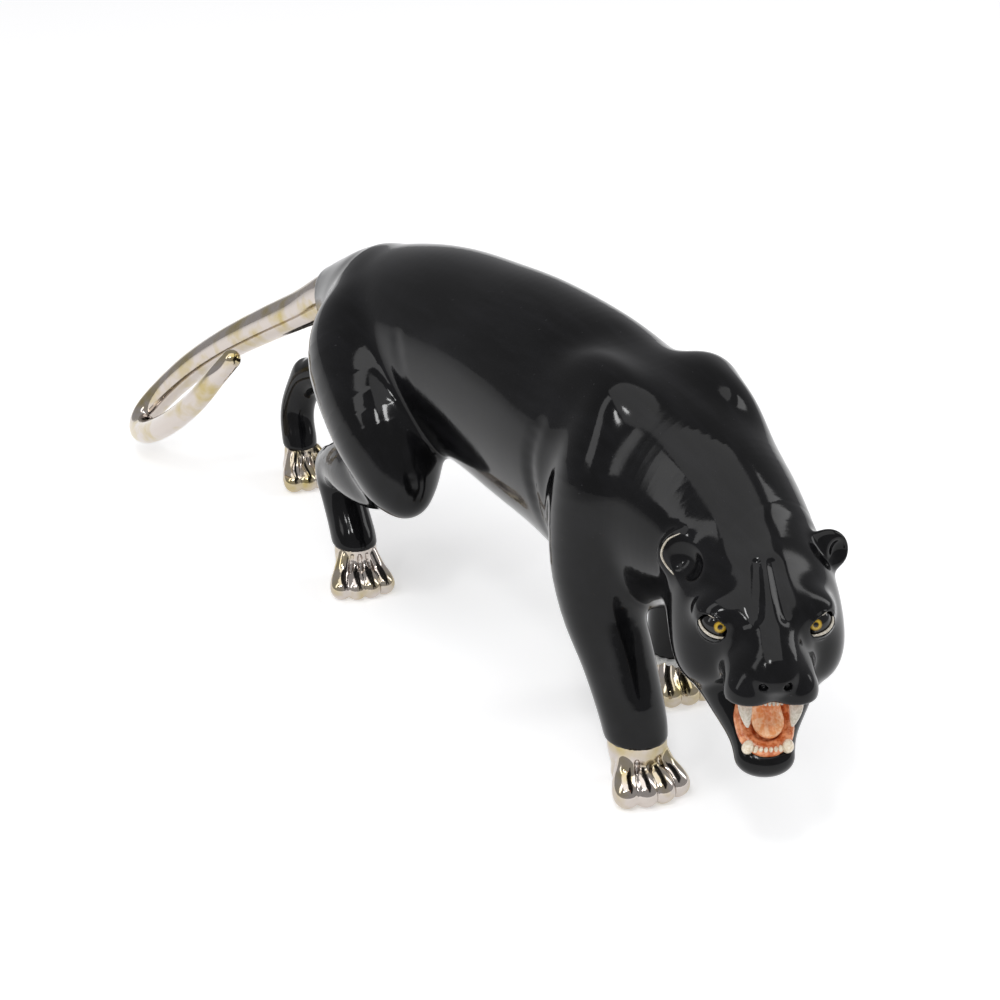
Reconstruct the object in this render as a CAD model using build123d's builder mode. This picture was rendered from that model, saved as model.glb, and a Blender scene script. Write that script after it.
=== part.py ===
from build123d import *
from math import acos, cos, pi, sin, sqrt, tan
import os

# Prowling panther figure in black glazed ceramic, with lustred paws and tail.
# It faces -Y and stands on Z = 0, with its own left side towards +X.
# Every casting, hand-modelled tooth and applied foot is a solid of its own.

os.makedirs("parts", exist_ok=True)

# Torso: a hollow casting that runs back from the neck joint along Y
torso_length = 345
torso_half_width = 54
torso_half_height = 65
front_y = -115                  # plane of the joint between torso and neck
shell_wall = 5
vent_radius = 3
rear_y = front_y + torso_length
shoulder_y = front_y + 20
hip_y = rear_y - 80

# Share of the length from the front, centre x, centre z, share of width, share of height
torso_stations = [
    (0.00, -4, 146, 0.83, 0.82),
    (0.09, -1, 143, 0.97, 1.00),
    (0.19, 0, 149, 1.00, 0.98),
    (0.29, 0, 156, 0.98, 1.00),
    (0.41, 0, 158, 0.95, 1.00),
    (0.52, 0, 157, 0.93, 0.98),
    (0.64, 0, 153, 0.91, 0.95),
    (0.74, 0, 149, 0.87, 0.88),
    (0.83, 0, 147, 0.75, 0.74),
    (0.90, 0, 147, 0.59, 0.55),
    (0.96, 0, 147, 0.42, 0.37),
    (1.00, 0, 147, 0.27, 0.24),
]

# Head: turned to its right and tipped up a little, with the jaw dropped open
head_centre = (-23, front_y - 69, 115)
head_turn = 32
head_tilt = 6
gape = 38                       # angle between the roof and the floor of the mouth
mouth_half_width = 17
roof_height = -13               # mouth roof, below the centre of the head
hinge = (6, -16)                # forward and up from the centre of the head
eye_radius = 8
ear_wall = 2.5
eye_spread = 22.5               # each eye centre from the middle of the face
ear_spread = 32                 # each ear root from the middle of the skull
mouth_reach = 75                # the mouth space runs past the lips to here

# Mouth furniture
palate_thickness = 3
gum_thickness = 2
upper_canine_length = 11
lower_canine_length = 7
canine_root_radius = 2.4
canine_tip_radius = 0.5
tooth_width = 1.9
tooth_count = 6
incisor_height = 3.2
incisor_depth = 2.0

# Feet and tail joints
spigot_radius = 6
spigot_length = 9
spigot_clearance = 0.4
collar_height = 4               # straight neck at the top of each paw, which the cement bead grips
ankle_step = 1                  # the paw is narrower than the leg at their joint
bead_overhang = 1.6             # the bead stands out from the leg by this much
toe_lift = 0.3                  # the toes clear the floor by this much, and the sole rests on it
tail_root_radius = 11
tail_turn_radius = 8.2
tail_tip_radius = 5.5
turn_index = 7                  # the point of the tail path where it starts to curl back

# Joint height above the floor, how far the toes turn out, and toe ball radius
feet = {
    "right_front": dict(joint=28, turn=12, toe=6.6),
    "left_front": dict(joint=23, turn=5, toe=6.6),
    "right_hind": dict(joint=25, turn=20, toe=6.0),
    "left_hind": dict(joint=22, turn=8, toe=6.0),
}

# Limb joints from the body down to the ankle: x, y, z and the radius there
limbs = {
    "right_front": [
        (-30, shoulder_y + 14, 196, 16),
        (-33, shoulder_y + 15, 158, 28),
        (-40, shoulder_y + 14, 124, 26),
        (-42, shoulder_y + 8, 95, 21),
        (-40, shoulder_y - 4, 68, 18.5),
        (-39, shoulder_y - 14, 45, 16.5),
        (-38, shoulder_y - 19, feet["right_front"]["joint"], 15),
    ],
    "left_front": [
        (30, shoulder_y + 16, 196, 16),
        (34, shoulder_y + 24, 158, 30),
        (40, shoulder_y + 42, 122, 26),
        (42, shoulder_y + 48, 92, 20),
        (42, shoulder_y + 48, 62, 16),
        (40, shoulder_y + 48, 40, 14.5),
        (40, shoulder_y + 48, feet["left_front"]["joint"], 14),
    ],
    "right_hind": [
        (-42, hip_y - 40, 100, 12),
        (-45, hip_y - 30, 84, 18),
        (-42, hip_y - 8, 78, 17),
        (-38, hip_y + 14, 73, 14.5),
        (-35, hip_y + 29, 66, 13.5),
        (-35, hip_y + 24, 48, 12),
        (-36, hip_y + 14, 36, 12),
        (-38, hip_y + 5, feet["right_hind"]["joint"], 12.5),
    ],
    "left_hind": [
        (14, hip_y + 24, 172, 18),
        (24, hip_y + 18, 145, 36),
        (34, hip_y + 42, 112, 31),
        (35, hip_y + 62, 93, 24),
        (30, hip_y + 92, 84, 18),
        (26, hip_y + 125, 77, 13.5),
        (20, hip_y + 148, 68, 11),
        (16, hip_y + 158, 54, 10),
        (13, hip_y + 156, 38, 10),
        (10, hip_y + 148, feet["left_hind"]["joint"], 10.5),
    ],
}

# The crouched thigh of the right hind leg, from the hip to the knee
right_thigh = [
    (-14, hip_y + 18, 172, 20),
    (-24, hip_y, 146, 38),
    (-40, hip_y - 35, 120, 34),
    (-48, hip_y - 58, 100, 25),
    (-51, hip_y - 70, 88, 12),
]

# Centre line of the tail from the rump face to its curled tip
tail_path = [
    (0, rear_y, 147),
    (-1, rear_y + 14, 141),
    (-4, rear_y + 32, 131),
    (-11, rear_y + 69, 109),
    (-20, rear_y + 106, 85),
    (-30, rear_y + 136, 61),
    (-41, rear_y + 157, 38),
    (-51, rear_y + 163, 24),
    (-59, rear_y + 153, 20),
    (-64, rear_y + 130, 28),
    (-66, rear_y + 96, 48),
    (-64, rear_y + 66, 72),
    (-58, rear_y + 50, 92),
    (-51, rear_y + 42, 105),
]


def bone(start, end):
    """Two joint balls and the cone that is tangent to both, as one solid."""
    x, y, z, start_radius = start
    tip_x, tip_y, tip_z, end_radius = end
    run = Vector(tip_x - x, tip_y - y, tip_z - z)
    lean = (start_radius - end_radius) / run.length
    side = sqrt(1 - lean * lean)
    half_turn = acos(lean)
    back_turn = (pi + half_turn) / 2
    across = Plane(origin=(x, y, z), z_dir=run).x_dir
    start_tangent = (start_radius * lean, start_radius * side)
    end_tangent = (run.length + end_radius * lean, end_radius * side)
    back = (start_radius * cos(back_turn), start_radius * sin(back_turn))
    front = (run.length + end_radius * cos(half_turn / 2), end_radius * sin(half_turn / 2))
    with BuildPart() as solid:
        with BuildSketch(Plane(origin=(x, y, z), x_dir=run, z_dir=across)):
            with BuildLine():
                ThreePointArc((-start_radius, 0), back, start_tangent)
                Line(start_tangent, end_tangent)
                ThreePointArc(end_tangent, front, (run.length + end_radius, 0))
                Line((run.length + end_radius, 0), (-start_radius, 0))
            make_face()
        revolve(axis=Axis((x, y, z), run))
    return solid.part


def limb(joints, inset=0, last_heading=None):
    """Round limb through a list of joints, each section square to the way it runs."""
    spots = [Vector(*joint[:3]) for joint in joints]
    with BuildPart() as solid:
        for index, joint in enumerate(joints):
            heading = spots[min(index + 1, len(spots) - 1)] - spots[max(index - 1, 0)]
            if last_heading and index == len(spots) - 1:
                heading = Vector(*last_heading)
            with BuildSketch(Plane(origin=spots[index], x_dir=square_to(heading), z_dir=heading)):
                Circle(joint[3] - inset)
        loft()
    return solid.part


def square_to(heading):
    """Direction nearest to +X that is square to the heading."""
    unit = heading.normalized()
    return Vector(1, 0, 0) - unit * unit.X


def barrel(inset):
    """Torso shape, drawn in from the outer surface by the inset."""
    rows = torso_stations if inset == 0 else torso_stations[:-1]
    with BuildPart() as body:
        for share, x, z, width, height in rows:
            y = front_y + share * torso_length
            with BuildSketch(Plane(origin=(x, y, z), x_dir=(1, 0, 0), z_dir=(0, -1, 0))):
                Ellipse(torso_half_width * width - inset, torso_half_height * height - inset)
        loft()
    return body.part


def half_space(plane, reach=400):
    """Large block on the positive side of a plane."""
    with BuildPart() as block:
        with BuildSketch(plane):
            Rectangle(reach, reach)
        extrude(amount=reach)
    return block.part


pieces = {}


def save(piece, name):
    pieces[name] = piece


# ---------------------------------------------------------------- torso
torso_outer = barrel(0)
torso_inner = barrel(shell_wall)
rump_face = Plane(origin=tail_path[0], x_dir=(1, 0, 0), z_dir=(0, -1, 0))

with BuildPart() as torso:
    add(torso_outer)
    add(torso_inner, mode=Mode.SUBTRACT)
    with BuildSketch(Plane(origin=(0, front_y + torso_length / 2, 0))):
        Circle(vent_radius)
    extrude(amount=torso_stations[5][2], mode=Mode.SUBTRACT)
    with BuildSketch(rump_face):
        Circle(spigot_radius + spigot_clearance)
    extrude(amount=spigot_length + spigot_clearance, mode=Mode.SUBTRACT)
save(torso.part, "torso")

# ---------------------------------------------------------------- head and neck
head_frame = Plane(Pos(*head_centre) * Rot(Z=-head_turn) * Rot(X=-head_tilt))
mouth_side = Plane(origin=head_frame.origin, x_dir=-head_frame.y_dir, z_dir=-head_frame.x_dir)
roof = head_frame.offset(roof_height)
bite = Plane(head_frame.location * Pos(0, -hinge[0], hinge[1]) * Rot(X=gape))


def at_head(x, forward, up, radius):
    """Joint given from the centre of the head: left, forward and up."""
    spot = head_frame.from_local_coords((x, -forward, up))
    return (spot.X, spot.Y, spot.Z, radius)


def at_bite(x, forward, up, radius):
    """Joint given from the jaw hinge, along the floor of the mouth."""
    spot = bite.from_local_coords((x, -forward, up))
    return (spot.X, spot.Y, spot.Z, radius)


front_station = torso_stations[0]
neck_root = Plane(
    origin=(front_station[1], front_y, front_station[2]), x_dir=(1, 0, 0), z_dir=(0, -1, 0)
)
root_size = (torso_half_width * front_station[3], torso_half_height * front_station[4])
neck_bends = [
    (Plane(Pos(-4, front_y - 20, 146) * Rot(Z=-6) * Rot(X=90)), (40, 43)),
    (Plane(Pos(-7, front_y - 41, 139) * Rot(Z=-18) * Rot(X=100)), (36.5, 39)),
]

# Forward, up, half width and half height of the skull, from the ears to the nose
skull_stations = [
    (4, 3, 41, 40),
    (19, 2, 36, 35),
    (30, 0, 26, 26),
    (40, -3, 19, 18.5),
    (51, -4, 14, 13),
    (56, -4, 9, 8),
]


def skull_plane(forward, up):
    return Plane(head_frame.location * Pos(0, -forward, up) * Rot(X=90))


with BuildPart() as skull:
    with BuildSketch(neck_root):
        Ellipse(*root_size)
    for bend, half_size in neck_bends:
        with BuildSketch(bend):
            Ellipse(*half_size)
    for forward, up, half_width, half_height in skull_stations:
        with BuildSketch(skull_plane(forward, up)):
            Ellipse(half_width, half_height)
    loft()
skull_outer = skull.part

with BuildPart() as mouth_space:
    with BuildSketch(mouth_side):
        with BuildLine():
            Polyline(
                (hinge[0] - 4, roof_height),
                (mouth_reach, roof_height),
                (mouth_reach, hinge[1] - (mouth_reach - hinge[0]) * tan(gape * pi / 180)),
                hinge,
                close=True,
            )
        make_face()
    extrude(amount=mouth_half_width, both=True)

with BuildPart() as head_solid:
    add(skull_outer)
    add(mouth_space.part, mode=Mode.SUBTRACT)

eyes = {}
for side, name in ((-1, "right_eye"), (1, "left_eye")):
    with BuildPart() as eye:
        with Locations(at_head(side * eye_spread, 24, 15.5, 0)[:3]):
            Sphere(eye_radius)
    eyes[name] = eye.part
    save(eye.part, name)

with BuildPart() as head:
    add(head_solid.part)
    for eye_ball in eyes.values():
        add(eye_ball, mode=Mode.SUBTRACT)
save(head.part, "head")

for side, name in ((-1, "right_ear"), (1, "left_ear")):
    with BuildPart() as ear:
        add(bone(at_head(side * ear_spread, -14, 29, 12), at_head(side * (ear_spread + 6.5), -14, 38, 8)))
        scoop_root = at_head(side * (ear_spread + 2), -5, 33, 11 - ear_wall)
        add(bone(scoop_root, at_head(side * (ear_spread + 9), -5, 41, 8 - ear_wall)), mode=Mode.SUBTRACT)
        add(skull_outer, mode=Mode.SUBTRACT)
    save(ear.part, name)

# ---------------------------------------------------------------- jaw and mouth
with BuildPart() as lower_jaw:
    add(bone(at_head(0, 6, -22, 18), at_head(0, 28, -44, 14)))
    add(mouth_space.part, mode=Mode.SUBTRACT)
    add(half_space(bite), mode=Mode.SUBTRACT)
    add(skull_outer, mode=Mode.SUBTRACT)
save(lower_jaw.part, "lower_jaw")

with BuildPart() as palate:
    with BuildSketch(Plane(roof.location * Pos(0, -25, 0))):
        Ellipse(10, 13)
    extrude(amount=-palate_thickness)
save(palate.part, "palate")

with BuildPart() as lower_gum:
    with BuildSketch(Plane(bite.location * Pos(0, -30, 0))):
        Ellipse(10.5, 15)
    extrude(amount=gum_thickness)
save(lower_gum.part, "lower_gum")

with BuildPart() as tongue:
    add(bone(at_bite(0, 20, 4.5, 6.2), at_bite(0, 33, 4, 5)))
    add(lower_gum.part, mode=Mode.SUBTRACT)
    add(half_space(bite.rotated((180, 0, 0))), mode=Mode.SUBTRACT)
    add(palate.part, mode=Mode.SUBTRACT)
save(tongue.part, "tongue")


def canine(root_plane, length, name):
    """Pointed tooth that stands on the root plane."""
    with BuildPart() as tooth:
        with BuildSketch(root_plane):
            Circle(canine_root_radius)
        with BuildSketch(root_plane.offset(length)):
            Circle(canine_tip_radius)
        loft()
    save(tooth.part, name)


def incisor_row(root_plane, name):
    """Strip of small front teeth that stands on the root plane."""
    pitch = tooth_width * 1.1
    with BuildPart() as row:
        with BuildSketch(root_plane):
            Rectangle(pitch * tooth_count, incisor_depth)
        extrude(amount=incisor_height / 3)
        with BuildSketch(root_plane):
            with GridLocations(pitch, 0, tooth_count, 1):
                Rectangle(tooth_width, incisor_depth)
        extrude(amount=incisor_height)
    save(row.part, name)


roof_down = Plane(roof.location * Rot(X=180))
gum_top = bite.offset(gum_thickness)
for side, name in ((-1, "right"), (1, "left")):
    canine(Plane(roof_down.location * Pos(side * 9.6, 40, 0)), upper_canine_length, f"{name}_upper_canine")
    canine(Plane(gum_top.location * Pos(side * 7.4, -36, 0)), lower_canine_length, f"{name}_lower_canine")
incisor_row(Plane(roof_down.location * Pos(0, 45.5, 0)), "upper_incisors")
incisor_row(Plane(gum_top.location * Pos(0, -41, 0)), "lower_incisors")


# ---------------------------------------------------------------- legs and paws
def paw_solid(ankle, joint, turn, toe):
    """Paw below its joint plane, with four toes fanned forward and a flat sole."""
    x, y, z, ankle_radius = ankle
    frame = Plane(Pos(x, y, 0) * Rot(Z=-turn))

    def spot(left, forward, up, radius):
        place = frame.from_local_coords((left, -forward, up))
        return (place.X, place.Y, place.Z, radius)

    sole = Plane(frame.location * Pos(0, -5, 0))
    instep = Plane(frame.location * Pos(0, -4, joint * 0.45))
    with BuildPart() as paw:
        with BuildSketch(sole):
            Ellipse(toe * 2.0, toe * 2.2)
        with BuildSketch(instep):
            Ellipse(toe * 2.1, toe * 2.3)
        with BuildSketch(Plane(origin=(x, y, joint - collar_height))):
            Circle(ankle_radius - ankle_step)
        loft()
        with BuildSketch(Plane(origin=(x, y, joint - collar_height))):
            Circle(ankle_radius - ankle_step)
        extrude(amount=collar_height)
        for step in (-1.5, -0.5, 0.5, 1.5):
            knuckle = spot(step * toe * 0.9, 6, joint * 0.5, toe * 0.9)
            tip = spot(step * toe * 1.45, 20 - abs(step) * 2, toe + toe_lift, toe)
            add(bone(knuckle, tip))
        with BuildSketch(Plane(origin=(x, y, joint))):
            Circle(spigot_radius)
        extrude(amount=spigot_length)
    return paw.part


for corner, foot in feet.items():
    ankle = limbs[corner][-1]
    joint_plane = Plane(origin=(ankle[0], ankle[1], foot["joint"]))
    with BuildPart() as leg:
        add(limb(limbs[corner], last_heading=(0, 0, -1)))
        if corner == "right_hind":
            add(limb(right_thigh))
        with BuildSketch(joint_plane):
            Circle(spigot_radius + spigot_clearance)
        extrude(amount=spigot_length + spigot_clearance, mode=Mode.SUBTRACT)
        add(torso_outer, mode=Mode.SUBTRACT)
    save(leg.part, f"{corner}_leg")
    paw = paw_solid(ankle, **foot)
    save(paw, f"{corner}_paw")
    if corner == "left_front":
        with BuildPart() as bead:
            with BuildSketch(Plane(origin=(ankle[0], ankle[1], foot["joint"] - collar_height))):
                Circle(ankle[3] + bead_overhang)
                Circle(ankle[3] - ankle_step, mode=Mode.SUBTRACT)
            extrude(amount=collar_height)
            outer_edges = bead.edges().filter_by(GeomType.CIRCLE).sort_by(SortBy.RADIUS)[-2:]
            fillet(outer_edges, collar_height * 0.4)
        save(bead.part, "cement_bead")

# ---------------------------------------------------------------- tail
tail_spots = [Vector(*spot) for spot in tail_path]
turn_share = turn_index / (len(tail_path) - 1)
turn_spot = tail_spots[turn_index]
loop_normal = (turn_spot - tail_spots[0]).cross(tail_spots[-1] - turn_spot)
with BuildPart() as tail:
    for index, spot in enumerate(tail_spots):
        share = index / (len(tail_spots) - 1)
        if share < turn_share:
            radius = tail_root_radius + (tail_turn_radius - tail_root_radius) * share / turn_share
        else:
            fade = (share - turn_share) / (1 - turn_share)
            radius = tail_turn_radius + (tail_tip_radius - tail_turn_radius) * fade ** 2
        before = tail_spots[max(index - 1, 0)]
        after = tail_spots[min(index + 1, len(tail_spots) - 1)]
        heading = Vector(0, 1, 0) if index == 0 else after - before
        with BuildSketch(Plane(origin=spot, x_dir=heading.cross(loop_normal), z_dir=heading)):
            Circle(radius)
    loft()
    with BuildSketch(rump_face):
        Circle(spigot_radius)
    extrude(amount=spigot_length)
save(tail.part, "tail")

# ---------------------------------------------------------------- the whole figure, centred over its floor plane
extent = Compound(list(pieces.values())).bounding_box()
to_centre = Pos(-extent.center().X, -extent.center().Y, 0)
for name, piece in pieces.items():
    placed = to_centre * piece
    placed.label = name
    export_step(placed, f"parts/{name}.step")
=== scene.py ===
import math
import bmesh
import bpy
import numpy as np
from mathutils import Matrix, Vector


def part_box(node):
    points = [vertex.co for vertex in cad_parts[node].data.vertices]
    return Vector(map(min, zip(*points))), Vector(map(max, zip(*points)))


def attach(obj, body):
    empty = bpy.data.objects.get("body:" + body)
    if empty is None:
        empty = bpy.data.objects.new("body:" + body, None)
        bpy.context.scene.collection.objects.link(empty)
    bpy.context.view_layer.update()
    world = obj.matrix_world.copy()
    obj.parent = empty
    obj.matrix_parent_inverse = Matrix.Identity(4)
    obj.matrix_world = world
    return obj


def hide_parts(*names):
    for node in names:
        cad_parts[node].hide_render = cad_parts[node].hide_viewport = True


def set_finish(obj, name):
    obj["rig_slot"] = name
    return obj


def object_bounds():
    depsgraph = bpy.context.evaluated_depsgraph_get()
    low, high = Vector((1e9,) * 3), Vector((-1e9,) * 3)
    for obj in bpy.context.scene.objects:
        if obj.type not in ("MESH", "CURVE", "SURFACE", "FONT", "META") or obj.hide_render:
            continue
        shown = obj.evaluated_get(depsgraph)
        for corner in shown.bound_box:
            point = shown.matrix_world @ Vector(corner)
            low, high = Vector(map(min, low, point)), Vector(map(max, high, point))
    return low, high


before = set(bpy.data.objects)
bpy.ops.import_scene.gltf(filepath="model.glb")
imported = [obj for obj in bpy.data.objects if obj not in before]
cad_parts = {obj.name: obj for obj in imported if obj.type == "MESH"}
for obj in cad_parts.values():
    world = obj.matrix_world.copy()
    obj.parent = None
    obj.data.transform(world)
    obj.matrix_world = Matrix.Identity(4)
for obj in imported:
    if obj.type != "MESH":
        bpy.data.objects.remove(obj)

import openvdb as vdb
from mathutils import Matrix, Vector

mm = 0.001
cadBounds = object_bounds()

# The figure is modelled in millimetres, facing -Y, with its neck joint at Y = -115
torso = dict(
    front=-115, length=345, halfWidth=54, halfHeight=65, wall=5, middle=0.44, reach=0.59,
    # share of the length, centre x, centre z, share of half width, share of half height
    stations=[
        (-0.16, -6, 144, 0.40, 0.36), (-0.08, -5, 146, 0.68, 0.64), (0.00, -4, 147, 0.85, 0.82),
        (0.09, -1, 145, 0.97, 0.98), (0.19, 0, 149, 1.00, 0.98), (0.29, 0, 155, 0.96, 0.99),
        (0.41, 0, 158, 0.91, 0.98),
        (0.52, 0, 159, 0.88, 0.93), (0.64, 0, 157, 0.87, 0.89), (0.74, 0, 152, 0.85, 0.85),
        (0.83, 0, 149, 0.74, 0.74), (0.90, 0, 148, 0.58, 0.58), (0.96, 0, 148, 0.38, 0.38),
        (1.00, 0, 147, 0.22, 0.22), (1.03, 0, 146, 0.10, 0.10),
    ],
)
torsoLow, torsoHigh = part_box("torso")
shift = np.array([torsoHigh.x / mm - torso["halfWidth"], torsoLow.y / mm - torso["front"], 0.0])

# Head axes: its own left, forward and up
head = dict(centre=(-23, -184, 115), turn=32, tilt=6, gape=38, roof=-13, hinge=(6, -16))
turn, tilt = math.radians(head["turn"]), math.radians(head["tilt"])
headLeft = np.array([math.cos(turn), -math.sin(turn), 0])
headForward = np.array([-math.sin(turn) * math.cos(tilt), -math.cos(turn) * math.cos(tilt), math.sin(tilt)])
headUp = np.cross(headLeft, headForward)
headUp *= np.sign(headUp[2])
headAxes = np.array([headLeft, headForward, headUp])
headCentre = np.array(head["centre"], float)


def atHead(left, forward, up):
    return headCentre + np.array([left, forward, up], float) @ headAxes  # head measures to figure measures


def blendMin(a, b, k):
    h = np.maximum(k - np.abs(a - b), 0) / k
    return np.minimum(a, b) - h * h * h * k / 6


def blendMax(a, b, k):
    return -blendMin(-a, -b, k)


def smoothPath(joints, parts):
    # evenly eased points through the joints, radius included
    joints = np.array(joints, float)
    ends = np.vstack([2 * joints[0] - joints[1], joints, 2 * joints[-1] - joints[-2]])
    made = []
    for i in range(1, len(ends) - 2):
        a, b, c, d = ends[i - 1], ends[i], ends[i + 1], ends[i + 2]
        for t in np.arange(parts) / parts:
            made.append(0.5 * (2 * b + (c - a) * t + (2 * a - 5 * b + 4 * c - d) * t ** 2
                               + (3 * b - a - 3 * c + d) * t ** 3))
    made.append(joints[-1])
    return np.array(made)


def rodDistance(points, a, b):
    run = b[:3] - a[:3]
    offset = points - a[:3]
    t = np.clip(offset @ run / (run @ run), 0, 1)
    return np.linalg.norm(offset - t[:, None] * run, axis=1) - (a[3] + t * (b[3] - a[3]))


def limb(joints, blend, parts=4, melt=3.0, stop=None, cuts=False):
    # a rounded limb through joints given as x, y, z and radius, cut off at the stop's point and direction
    path = smoothPath(joints, parts) if len(joints) > 2 else np.array(joints, float)

    def shape(points):
        value = rodDistance(points, path[0], path[1])
        for a, b in zip(path[1:-1], path[2:]):
            value = blendMin(value, rodDistance(points, a, b), melt)
        return value if stop is None else blendMax(value, (points - stop[0]) @ unit(np.array(stop[1])), 2.5)
    reach = path[:, 3:].max() + blend + 8
    return path[:, :3].min(0) - reach, path[:, :3].max(0) + reach, shape, blend, cuts


def blob(centre, half, blend, axes=None, cuts=False):
    # an ellipsoid with its half sizes along the given axes
    axes = np.eye(3) if axes is None else axes
    centre, half = np.array(centre, float), np.array(half, float)

    def shape(points):
        local = (points - centre) @ axes.T
        near = np.linalg.norm(local / half, axis=1)
        return near * (near - 1) / np.maximum(np.linalg.norm(local / half ** 2, axis=1), 1e-6)
    reach = half.max() + blend + 8
    return centre - reach, centre + reach, shape, blend, cuts


def headBlob(left, forward, up, half, blend, cuts=False):
    return blob(atHead(left, forward, up), half, blend, headAxes, cuts)


def headLimb(joints, blend, cuts=False, parts=4, melt=2.0):
    return limb([(*atHead(*j[:3]), j[3]) for j in joints], blend, parts, melt, cuts=cuts)


def barrel(blend):
    table = smoothPath(torso["stations"], 6)

    def shape(points):
        share = (points[:, 1] - torso["front"]) / torso["length"]
        x, z, w, h = (np.interp(share, table[:, 0], table[:, i]) for i in (1, 2, 3, 4))
        w, h = w * torso["halfWidth"], h * torso["halfHeight"]
        dx, dz = points[:, 0] - x, points[:, 2] - z
        near = np.hypot(dx / w, dz / h)
        value = near * (near - 1) / np.maximum(np.hypot(dx / w ** 2, dz / h ** 2), 1e-6)
        ends = np.abs(share - torso["middle"]) * torso["length"] - torso["reach"] * torso["length"]
        return blendMax(value, ends, 14)
    low = np.array([-90, torso["front"] - 110, 40])
    return low, np.array([90, torso["front"] + torso["length"] + 40, 260]), shape, blend, False


def fieldOf(shapes):
    def field(points):
        value = np.full(len(points), 40.0)
        for low, high, shape, blend, cuts in shapes:
            near = np.flatnonzero(((points > low) & (points < high)).all(axis=1))
            if len(near):
                made = shape(points[near])
                value[near] = blendMax(value[near], -made, blend) if cuts \
                    else blendMin(value[near], made, blend)
        return value
    return field


def slopeOf(field, points, reach=0.25):
    slope = np.empty_like(points)
    for axis in range(3):
        step = np.zeros(3)
        step[axis] = reach
        slope[:, axis] = (field(points + step) - field(points - step)) / (2 * reach)
    return slope


def unit(vectors):
    return vectors / np.maximum(np.linalg.norm(vectors, axis=-1, keepdims=True), 1e-9)


def surfaceOf(field, low, high, step):
    # quads over the zero level of a field, settled onto it
    axes = [np.arange(a, b, step) for a, b in zip(low, high)]
    spots = np.stack(np.meshgrid(*axes, indexing="ij"), -1).reshape(-1, 3)
    values = np.clip(field(spots) / step, -3, 3).reshape([len(a) for a in axes])
    grid = vdb.FloatGrid(background=3.0)
    grid.copyFromArray(values.astype(np.float32))
    points, quads = grid.convertToQuads(isovalue=0.0)
    points = points * step + np.array(low)
    for _ in range(2):
        slope = slopeOf(field, points)
        size = np.maximum((slope ** 2).sum(1), 0.2)
        points = points - slope * (np.clip(field(points), -step, step) / size)[:, None]
    a, b, c = points[quads[:, 0]], points[quads[:, 1]], points[quads[:, 2]]
    if (np.cross(b - a, c - a) * unit(slopeOf(field, a))).sum() < 0:
        quads = quads[:, ::-1]
    return points, quads


def splitShell(points, quads, cuts, labelOf):
    # cuts the shell on clean planes and sorts its faces into named pieces
    made = bpy.data.meshes.new("cutting")
    made.from_pydata(points.tolist(), [], quads.tolist())
    shell = bmesh.new()
    shell.from_mesh(made)
    bpy.data.meshes.remove(made)
    for point, normal, isNear in cuts:
        faces = [f for f in shell.faces if isNear(*f.calc_center_median())]
        edges = {e for f in faces for e in f.edges}
        corners = {v for f in faces for v in f.verts}
        bmesh.ops.bisect_plane(shell, geom=faces + list(edges) + list(corners), dist=1e-4,
                               plane_co=Vector(point), plane_no=Vector(normal))
    shell.verts.index_update()
    spots = np.array([v.co for v in shell.verts])
    byPiece = {}
    for f in shell.faces:
        byPiece.setdefault(labelOf(*f.calc_center_median()), []).append([v.index for v in f.verts])
    shell.free()
    return spots, byPiece


pieces = {}


def addPiece(name, points, faces, normals, slotName, nodes=(), wall=0.0):
    # a smooth piece with exact normals; a wall makes an open skin into a closed shell
    used = sorted({i for f in faces for i in f})
    place = {old: new for new, old in enumerate(used)}
    faces = [[place[i] for i in f] for f in faces]
    points, normals = points[used], normals[used]
    if wall:
        seen = {}
        for f in faces:
            for a, b in zip(f, f[1:] + f[:1]):
                seen.setdefault((min(a, b), max(a, b)), []).append((a, b))
        count = len(points)
        rims = [pairs[0] for pairs in seen.values() if len(pairs) == 1]
        inner = [[i + count for i in reversed(f)] for f in faces]
        faces = faces + inner + [[b, a, a + count, b + count] for a, b in rims]
        points = np.vstack([points, points - normals * wall])
        normals = np.vstack([normals, -normals])
    mesh = bpy.data.meshes.new(name)
    mesh.from_pydata(((points + shift) * mm).tolist(), [], faces)
    mesh.polygons.foreach_set("use_smooth", [True] * len(mesh.polygons))
    mesh.normals_split_custom_set_from_vertices(normals.tolist())
    piece = bpy.data.objects.new(name, mesh)
    bpy.context.scene.collection.objects.link(piece)
    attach(piece, "root")
    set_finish(piece, slotName)
    if nodes:
        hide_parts(*nodes)
    pieces[name] = piece
    return piece


def addCast(name, shapes, low, high, step, slotName, nodes=()):
    # a closed solid piece straight from its shapes
    field = shapes if callable(shapes) else fieldOf(shapes)
    points, quads = surfaceOf(field, low, high, step)
    return addPiece(name, points, quads.tolist(), unit(slopeOf(field, points)), slotName, nodes)


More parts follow.
